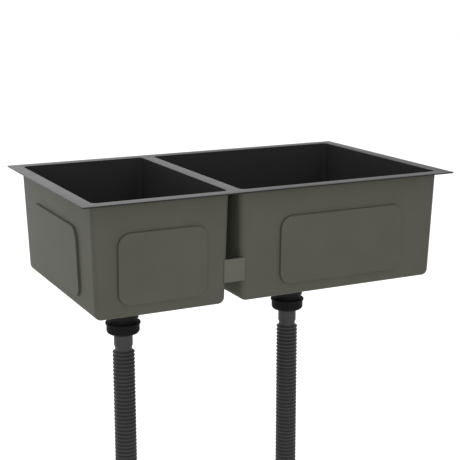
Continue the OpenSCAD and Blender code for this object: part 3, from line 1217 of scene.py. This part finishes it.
@dataclass
class Strainer(DrainGroup):
    """The strainer body in the bowl floor with its gaskets, threaded outlet, trim and lock nut."""

    cup_r: float = 0.0435
    cone_z: float = -0.250
    collar_z: float = -0.268
    collar_r: float = 0.032
    body_rounding: float = 0.0008
    outlet_z: float = -0.281
    outlet_bore_r: float = 0.025
    thread_turns: int = 9
    thread_h: float = 0.0011
    thread_end: float = 0.001
    rounding: float = 0.0006
    hub_r: float = 0.008
    hub_bore_r: float = 0.0045
    hub_h: float = 0.005
    bars: int = 4
    bar_start: float = 0.006
    bar_t: float = 0.004
    bar_edge: float = 0.0005
    throat_play: float = 0.0001
    ledge_r: float = 0.0366
    nut_h: float = 0.015
    nut_rounding: float = 0.001
    lugs: int = 8
    lug_r: float = 0.005
    lug_drop: float = 0.0025
    lug_edge: float = 0.0005
    lug_angle: float = math.radians(60)

    def build_gaskets(self) -> None:
        """Model and dress the two gaskets and the washer."""
        seat = (SIZES.seat_z, DRAIN.gasket_top)
        under = (DRAIN.lower_gasket_top - DRAIN.lower_gasket_t, DRAIN.lower_gasket_top)
        outlet = (DRAIN.hose_top + GAP, DRAIN.outlet_end - GAP)
        for name, radii, heights, rounding, node in (
            ("flange_gasket", (SIZES.hole_r, DRAIN.flange_r), seat, 0.0004, "upper_gasket"),
            ("nut_gasket", (DRAIN.nut_bore_r, DRAIN.nut_r), under, 0.0006, "lower_gasket"),
            ("outlet_washer", (DRAIN.hose_bore_r, DRAIN.outlet_r), outlet, 0.0005, "sealing_washer"),
        ):
            finish(self.ring(name, radii, heights, rounding), "gasket_rubber", self.side.named(node))

    def build_body(self) -> None:
        """Model and dress the moulded strainer body: its flange, cup and cone."""
        body = self.turn("strainer_cup", [
            (DRAIN.bore_r, DRAIN.flange_top), (DRAIN.flange_r, DRAIN.flange_top),
            (DRAIN.flange_r, DRAIN.gasket_top), (self.cup_r, DRAIN.gasket_top),
            (self.cup_r, self.cone_z), (self.collar_r, self.collar_z),
            (self.outlet_bore_r, self.collar_z), (DRAIN.bore_r, self.cone_z),
        ], self.body_rounding)
        finish(body, "strainer_plastic", self.side.named("strainer_body"))

    def thread(self) -> Outline:
        """Give the outline of the outlet's thread.

        Returns:
            The thread's points under the collar, from the top down.
        """
        run = (self.outlet_z - DRAIN.outlet_end - 2 * self.thread_end) / self.thread_turns
        crest, root = DRAIN.outlet_r, DRAIN.outlet_r - self.thread_h
        top = self.outlet_z - self.thread_end
        shape = ((0.0, root), (0.3, crest), (0.45, crest), (0.75, root))
        turns = [(radius, top - run * (i + share))
                 for i in range(self.thread_turns) for share, radius in shape]
        return turns + [(root, DRAIN.outlet_end)]

    def build_outlet(self) -> None:
        """Model and dress the collar and the threaded outlet with its cross bars."""
        top = self.collar_z - GAP
        hub_low = top - self.hub_h
        root = DRAIN.outlet_r - self.thread_h
        collar = softened([
            (self.outlet_bore_r, DRAIN.outlet_end), (self.outlet_bore_r, top), (self.collar_r, top),
            (self.collar_r, self.outlet_z), (root, self.outlet_z),
        ], self.rounding, closed=False)
        parts = [
            turned(self.side.named("outlet_thread"), self.side.x, collar + self.thread()),
            self.ring("hub", (self.hub_bore_r, self.hub_r), (hub_low, top), self.rounding, sides=48),
        ]
        reach = (self.outlet_bore_r + root) / 2
        length, t = reach - self.bar_start, self.bar_t
        for x, y, turn in around(self.side.x, (reach + self.bar_start) / 2, self.bars):
            size = (length, t, t) if abs(math.cos(turn)) > ALONG else (t, length, t)
            bar = add_box("bar", (x, y, hub_low + t / 2), size)
            soften_edges(bar, self.bar_edge)
            parts.append(bar)
        finish(join(parts), "strainer_plastic", self.side.named("threaded_outlet"))

    def build_trim(self) -> None:
        """Model and dress the steel trim that covers the flange."""
        top, t = DRAIN.trim_top, DRAIN.trim_t
        edge_r, throat_r = DRAIN.flange_r + GAP, DRAIN.bore_r - self.throat_play
        trim = self.turn("flange_trim", [
            (edge_r + t, top), (edge_r + t, DRAIN.gasket_top), (edge_r, DRAIN.gasket_top), (edge_r, top - t),
            (throat_r, top - t), (throat_r, DRAIN.ledge_z - t), (self.ledge_r, DRAIN.ledge_z - t),
            (self.ledge_r, DRAIN.ledge_z), (throat_r - t, DRAIN.ledge_z), (throat_r - t, top),
        ], self.rounding, sides=128)
        finish(trim, "strainer_steel", self.side.named("strainer_trim"))

    def build_lock_nut(self) -> None:
        """Model and dress the lock nut with its lugs."""
        low = DRAIN.nut_top - self.nut_h
        nut = self.ring("clamp_nut", (DRAIN.nut_bore_r, DRAIN.nut_r), (low, DRAIN.nut_top), self.nut_rounding)
        lugs = [add_rod("lug", self.lug_r, (x, y, low), self.nut_h - self.lug_drop, sides=32)
                for x, y, _ in around(self.side.x, DRAIN.nut_r, self.lugs)]
        combine(nut, join(lugs), "UNION")
        soften_edges(nut, self.lug_edge, self.lug_angle)
        finish(nut, "nut_plastic", self.side.named("lock_nut"))

    def build(self) -> None:
        """Build every piece of the group."""
        self.build_gaskets()
        self.build_body()
        self.build_outlet()
        self.build_trim()
        self.build_lock_nut()


@dataclass
class Basket(DrainGroup):
    """The lift-out basket with its seal and its post."""

    sheet: float = 0.0008
    lift: float = 0.001
    top: float = DRAIN.ledge_z + lift
    height: float = 0.03476
    rim_r: float = 0.0391
    wall_r: float = 0.036
    floor_r: float = 0.0295
    rounding: float = 0.0005
    slots: int = 10
    slot_ring: float = 0.033
    slot_size: tuple[float, float, float] = (0.02, 0.004, 0.018)
    slot_end_r: float = 0.00195
    slot_end_steps: int = 6
    holes: int = 8
    hole_ring: float = 0.01945
    hole_r: float = 0.003
    hole_start: float = 0.002
    hole_h: float = 0.005
    seal_r: float = 0.033
    seal_t: float = 0.003
    seal_slope: float = 0.0015
    seal_rounding: float = 0.0006
    post_r: float = 0.004
    post_tip: float = -0.272
    post_chamfer: float = 0.0005
    knob_r: float = 0.011
    knob_h: float = 0.007
    knob_drop: float = 0.0008
    post_rounding: float = 0.001

    @property
    def floor_z(self) -> float:
        """Height of the underside of the basket's floor."""
        return self.top - self.height

    def cutter(self) -> Piece:
        """Model the slots and holes of the basket as one tool.

        Returns:
            The tool.
        """
        cuts = []
        middle = (self.top + self.floor_z) / 2
        for x, y, turn in around(self.side.x, self.slot_ring, self.slots, math.pi / self.slots):
            slot = add_box("slot", (0, 0, 0), self.slot_size)
            round_edges(slot, 0, self.slot_end_r, self.slot_end_steps)
            settle(slot, Matrix.Translation((x, y, middle)) @ Matrix.Rotation(turn, 4, "Z"))
            cuts.append(slot)
        low = self.floor_z - self.hole_start
        for x, y, _ in around(self.side.x, self.hole_ring, self.holes):
            cuts.append(add_rod("hole", self.hole_r, (x, y, low), self.hole_h, sides=24))
        return join(cuts)

    def build_basket(self) -> None:
        """Model and dress the slotted basket."""
        top, floor_z, t = self.top, self.floor_z, self.sheet
        bore_r = self.post_r + GAP
        basket = self.turn("strainer_basket", [
            (self.rim_r, top), (self.rim_r, top - t), (self.wall_r, top - t), (self.floor_r, floor_z),
            (bore_r, floor_z), (bore_r, floor_z + t), (self.floor_r - t, floor_z + t), (self.wall_r - t, top),
        ], self.rounding)
        combine(basket, self.cutter(), "DIFFERENCE")
        finish(basket, "strainer_steel", self.side.named("basket"), self.side.basket)

    def build_seal(self) -> None:
        """Model and dress the rubber seal under the basket."""
        bore_r, high, low = self.post_r + GAP, self.floor_z - GAP, self.floor_z - self.seal_t
        seal = self.turn("closing_seal", [
            (bore_r, low), (self.seal_r, low), (self.seal_r, low + self.seal_slope),
            (self.seal_r - self.seal_slope, high), (bore_r, high),
        ], self.seal_rounding)
        finish(seal, "gasket_rubber", self.side.named("basket_seal"), self.side.basket)

    def build_post(self) -> None:
        """Model and dress the post with its knob."""
        high = DRAIN.trim_top - self.knob_drop
        low = high - self.knob_h
        slope = self.knob_h / 4
        post = self.turn("knob_post", [
            (0, self.post_tip), (self.post_r - self.post_chamfer, self.post_tip),
            (self.post_r, self.post_tip + self.post_chamfer), (self.post_r, low), (self.knob_r - slope, low),
            (self.knob_r, low + slope), (self.knob_r, high - slope), (self.knob_r - slope, high), (0, high),
        ], self.post_rounding, closed=False)
        finish(post, "strainer_steel", self.side.named("basket_post"), self.side.basket)

    def build(self) -> None:
        """Build every piece of the group."""
        self.build_basket()
        self.build_seal()
        self.build_post()


@dataclass
class UnionNut(DrainGroup):
    """The union nut with its bead and its grip flutes."""

    height: float = 0.024
    lip_t: float = 0.00385
    nut_r: float = 0.0336
    bead_r: float = 0.0357
    bead_h: float = 0.005
    bead_edge: float = 0.00125
    shoulder_r: float = 0.007
    shoulder_steps: int = 9
    bore_r: float = 0.0291
    neck_r: float = 0.0194
    neck_edge: float = 0.0002
    rounding: float = 0.0007
    flutes: int = 24
    flute_r: float = 0.002
    flute_out: float = 0.0014

    def build(self) -> None:
        """Model and dress the nut."""
        lip_z = DRAIN.hose_top - DRAIN.hose_flange_t - GAP
        low = lip_z - self.lip_t
        top = low + self.height
        bead_z, bead_edge = top - self.bead_h, self.bead_edge
        angles = [math.pi / 2 * k / self.shoulder_steps for k in range(self.shoulder_steps + 1)]
        shoulder = [(self.nut_r - self.shoulder_r * (1 - math.cos(angle)),
                     low + self.shoulder_r * (1 - math.sin(angle))) for angle in angles]
        outline = softened([
            (self.bore_r, lip_z), (self.bore_r, top), (self.bead_r - bead_edge, top),
            (self.bead_r, top - bead_edge), (self.bead_r, bead_z + bead_edge), (self.nut_r, bead_z),
            shoulder[0],
        ], self.rounding, closed=False)
        neck_r, neck_edge = self.neck_r, self.neck_edge
        outline += shoulder[1:] + [(neck_r + neck_edge, low), (neck_r, low + neck_edge), (neck_r, lip_z)]
        nut = turned(self.side.named("coupling_nut"), self.side.x, outline)
        flute_low = low + self.shoulder_r
        flutes = [add_rod("flute", self.flute_r, (x, y, flute_low), bead_z - flute_low, sides=16)
                  for x, y, _ in around(self.side.x, self.nut_r + self.flute_out, self.flutes)]
        combine(nut, join(flutes), "DIFFERENCE")
        finish(nut, "nut_plastic", self.side.named("union_nut"))


@dataclass
class PipeConnector(DrainGroup):
    """The connector on a hose's lower end, with its rubber ring."""

    hose_end: float
    hose_r: float
    socket_r: float = 0.0223
    socket_h: float = 0.026
    stop_r: float = 0.025
    stop_t: float = 0.004
    groove_r: float = 0.019
    groove_h: float = 0.0061
    spigot_r: float = 0.020
    spigot_l: float = 0.045
    spigot_chamfer: float = 0.0015
    bore_r: float = 0.0165
    lip_r: float = 0.0234
    lip_root_r: float = 0.022
    lip_z: float = 0.002
    lip_root_z: float = 0.003
    upper_lip_z: float = 0.0045
    base_r: float = 0.0215
    rounding: float = 0.0006

    def build(self) -> list[Piece]:
        """Model and dress the connector and its ring.

        Returns:
            The connector and the ring.
        """
        stop = self.hose_end - GAP - self.stop_t
        stop_top, mouth, end = stop + self.stop_t, self.hose_end + self.socket_h, stop - self.spigot_l
        grip = self.hose_r + GAP
        connector = self.turn("pipe_connector", [
            (grip, mouth), (self.socket_r, mouth), (self.socket_r, stop_top), (self.stop_r, stop_top),
            (self.stop_r, stop), (self.groove_r, stop), (self.groove_r, stop - self.groove_h),
            (self.spigot_r, stop - self.groove_h), (self.spigot_r, end + self.spigot_chamfer),
            (self.spigot_r - self.spigot_chamfer, end), (self.bore_r, end), (self.bore_r, stop_top),
            (grip, stop_top),
        ], self.rounding)
        finish(connector, "nut_plastic", self.side.named("hose_connector"))
        inner, high, low = self.groove_r + GAP, stop - GAP, stop - self.groove_h + GAP
        ring = self.turn("pipe_seal", [
            (inner, low), (self.base_r, low), (self.lip_r, low + self.lip_z),
            (self.lip_root_r, low + self.lip_root_z), (self.lip_r, low + self.upper_lip_z),
            (self.lip_root_r, high), (inner, high),
        ], self.rounding)
        finish(ring, "gasket_rubber", self.side.named("connector_ring"))
        return [connector, ring]


@dataclass
class DrainHose(DrainGroup):
    """One ribbed hose that hangs from its union nut and ends in a pipe connector."""

    top: float = DRAIN.hose_top
    length: float = 0.450
    flange_r: float = 0.0285
    cuff_r: float = 0.0191
    top_cuff: float = 0.0295
    end_cuff: float = 0.0285
    neck: float = 0.010
    neck_r: float = 0.0174
    neck_slope: float = 0.003
    rib_r: float = 0.0227
    rib_slope: float = 0.001
    rib_lead: float = 0.0006
    valley_r: float = 0.0189
    pitch: float = 0.008
    rounding: float = 0.0005
    sides: int = 72
    path_steps: int = 30

    @property
    def under_flange(self) -> float:
        """Height of the underside of the hose's flange."""
        return self.top - DRAIN.hose_flange_t

    @property
    def end(self) -> float:
        """Height of the hose's lower end."""
        return self.top - self.length

    @property
    def ribs_top(self) -> float:
        """Height where the ribs start."""
        return self.under_flange - self.top_cuff - self.neck

    @property
    def ribs_end(self) -> float:
        """Height where the ribs end."""
        return self.end + self.end_cuff + self.neck

    def ribs(self) -> Outline:
        """Give the outline of all the ribs.

        Returns:
            The ribs' points, from the top down.
        """
        count = int((self.ribs_top - self.ribs_end) / self.pitch)
        run = (self.ribs_top - self.ribs_end) / count
        height = self.rib_r - self.valley_r
        shape = ((0.11, 0.03), (0.20, 0.16), (0.28, 0.46), (0.36, 0.80), (0.44, 0.96), (0.53, 1.0),
                 (0.61, 0.96), (0.70, 0.80), (0.79, 0.46), (0.88, 0.16), (0.97, 0.03))
        return [(self.valley_r + height * rise, self.ribs_top - run * (i + down))
                for i in range(count) for down, rise in shape]

    def mark_valleys(self, hose: Piece) -> None:
        """Store on the hose how deep each point lies between the ribs, for the painted shade there.

        Args:
            hose: The hose.
        """
        valley = hose.data.attributes.new("valley", "FLOAT", "POINT")
        for vertex in hose.data.vertices:
            radius = math.hypot(vertex.co.x - self.side.x, vertex.co.y)
            if self.ribs_end < vertex.co.z < self.ribs_top and radius > self.neck_r:
                valley.data[vertex.index].value = (self.rib_r - radius) / (self.rib_r - self.valley_r)

    def build(self) -> None:
        """Model and dress the hose and what is on it."""
        neck_top, neck_end = self.ribs_top + self.neck, self.ribs_end - self.neck
        head = softened([
            (DRAIN.hose_bore_r, self.top), (self.flange_r, self.top), (self.flange_r, self.under_flange),
            (self.cuff_r, self.under_flange), (self.cuff_r, neck_top),
            (self.neck_r, neck_top - self.neck_slope), (self.neck_r, self.ribs_top + self.rib_slope),
            (self.valley_r, self.ribs_top - self.rib_lead),
        ], self.rounding, closed=False)
        tail = softened([
            (self.valley_r, self.ribs_end), (self.neck_r, self.ribs_end - self.rib_slope),
            (self.neck_r, neck_end + self.neck_slope), (self.cuff_r, neck_end),
            (self.cuff_r, self.end), (DRAIN.hose_bore_r, self.end),
        ], self.rounding, closed=False)
        outline = head + self.ribs() + tail
        hose = turned(self.side.named("ribbed_hose"), self.side.x, outline, sides=self.sides)
        self.mark_valleys(hose)
        finish(hose, "hose_plastic", self.side.named("hose"))
        on_it = PipeConnector(self.side, self.end, self.cuff_r).build()


# Studio


@dataclass(frozen=True)
class StudioCamera:
    """The camera at the photograph's angle."""

    azimuth: float = math.radians(-26.282)
    elevation: float = math.radians(12.9519)
    roll: float = math.radians(-0.084)
    distance: float = 2.251355
    right: float = -0.007183
    up: float = 0.125052
    lens_px: float = 1102.771
    picture_px: float = 460.0
    sensor: float = 36.0
    sight: float = 100.0

    def build(self) -> None:
        """Add the camera and make it the scene's."""
        level = math.cos(self.elevation)
        x, y = math.sin(self.azimuth) * level, -math.cos(self.azimuth) * level
        back = Vector((x, y, math.sin(self.elevation)))
        flat = Vector((0, 0, 1)).cross(back).normalized()
        rise = back.cross(flat)
        side = flat * math.cos(self.roll) + rise * math.sin(self.roll)
        top = rise * math.cos(self.roll) - flat * math.sin(self.roll)
        place = back * self.distance - side * self.right - top * self.up + Vector((0, 0, SIZES.rim_t))
        data = bpy.data.cameras.new("view")
        data.sensor_width = self.sensor
        data.lens = self.lens_px / self.picture_px * self.sensor
        data.clip_end = self.sight
        camera = bpy.data.objects.new("view", data)
        bpy.context.scene.collection.objects.link(camera)
        camera.matrix_world = Matrix.Translation(place) @ Matrix((side, top, back)).transposed().to_4x4()
        bpy.context.scene.camera = camera


@dataclass(frozen=True)
class Softbox:
    """One rectangular lamp that looks at a point."""

    name: str
    place: tuple[float, float, float]
    aim: tuple[float, float, float]
    size: tuple[float, float]
    power: float

    def build(self) -> None:
        """Add the lamp."""
        data = bpy.data.lights.new(self.name, "AREA")
        data.shape = "RECTANGLE"
        data.size, data.size_y = self.size
        data.energy = self.power
        lamp = bpy.data.objects.new(self.name, data)
        bpy.context.scene.collection.objects.link(lamp)
        lamp.location = self.place
        lamp.rotation_euler = (Vector(self.aim) - Vector(self.place)).to_track_quat("-Z", "Y").to_euler()


@dataclass(frozen=True)
class Studio:
    """The pale floor, the soft lamps and the world."""

    floor_z: float = -0.8062
    floor_reach: float = 12.0
    floor_colour: Colour = (0.65, 0.65, 0.65, 1.0)
    floor_glow: float = 0.85
    world_level: float = 0.45
    lamps: tuple[Softbox, ...] = (
        Softbox("back_left_softbox", (-1.5, 2.8, -0.3), aim=(0, 0, -0.2), size=(1.6, 1.2), power=13.6),
        Softbox("top_front_softbox", (1.1, -0.9, 2.1), aim=(0, 0, 0), size=(2.4, 1.6), power=8.4),
        Softbox("top_back_softbox", (-0.6, 0.8, 2.4), aim=(0, 0, 0), size=(2.4, 1.6), power=19.2),
        Softbox("front_softbox", (-0.9, -2.9, 0.5), aim=(0, 0, -0.3), size=(2.4, 1.2), power=17.2),
    )

    def white_for_eyes(self, graph: Graph) -> Socket:
        """Give 1 for camera, glossy and transmission rays and 0 for all others.

        Args:
            graph: The graph that the nodes go into.

        Returns:
            The value.
        """
        path = graph.node("ShaderNodeLightPath").outputs
        seen = graph.maths("MAXIMUM", path["Is Camera Ray"], path["Is Glossy Ray"])
        return graph.maths("MAXIMUM", seen, path["Is Transmission Ray"])

    def build_floor(self) -> None:
        """Add the floor, white to the eye but for the sink's shadow."""
        clear_selection()
        bpy.ops.mesh.primitive_plane_add(size=2 * self.floor_reach, location=(0, 0, self.floor_z))
        floor = bpy.context.object
        floor.name = "studio_floor"
        material, graph, shader = start_material("studio_floor")
        graph.feed(shader, {
            "Base Color": self.floor_colour,
            "Roughness": 1.0,
            "Specular IOR Level": 0.0,
            "Emission Color": (1, 1, 1, 1),
            "Emission Strength": graph.maths("MULTIPLY", self.white_for_eyes(graph), self.floor_glow)})
        floor.data.materials.append(material)

    def build_world(self) -> None:
        """Set the world: white to the eye, soft grey as a light."""
        world = bpy.data.worlds.new("studio")
        bpy.context.scene.world = world
        world.use_nodes = True
        graph = Graph(world.node_tree)
        level = graph.span(self.white_for_eyes(graph), 0.0, 1.0, self.world_level, 1.0)
        graph.feed(world.node_tree.nodes["Background"], {"Color": (1, 1, 1, 1), "Strength": level})

    def build(self) -> None:
        """Build the studio."""
        bpy.context.scene.view_settings.view_transform = "Standard"
        self.build_floor()
        self.build_world()
        for lamp in self.lamps:
            lamp.build()


def dress_nodes() -> None:
    """Give every CAD node that stays the material of its slot."""
    slots = {part["node"]: part["material_slot"] for part in frame["record"]["subparts"]}
    for name, node in frame["nodes"].items():
        dress(node, slots[name])
    log.info("%d CAD nodes dressed", len(frame["nodes"]))


def main() -> None:
    """Build the whole scene."""
    logging.basicConfig(level=logging.INFO, format="%(message)s")
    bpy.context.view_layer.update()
    StudioCamera().build()
    for side in SIDES:
        DrainHose(side).build()
    dress_nodes()
    RimPlate().build()
    for side in SIDES:
        Bowl(side).build()
    for side in SIDES:
        Coat(side).build()
    FrontStrap().build()
    for side in SIDES:
        Strainer(side).build()
        Basket(side).build()
        UnionNut(side).build()
    Studio().build()


if __name__ == "__main__":
    main()
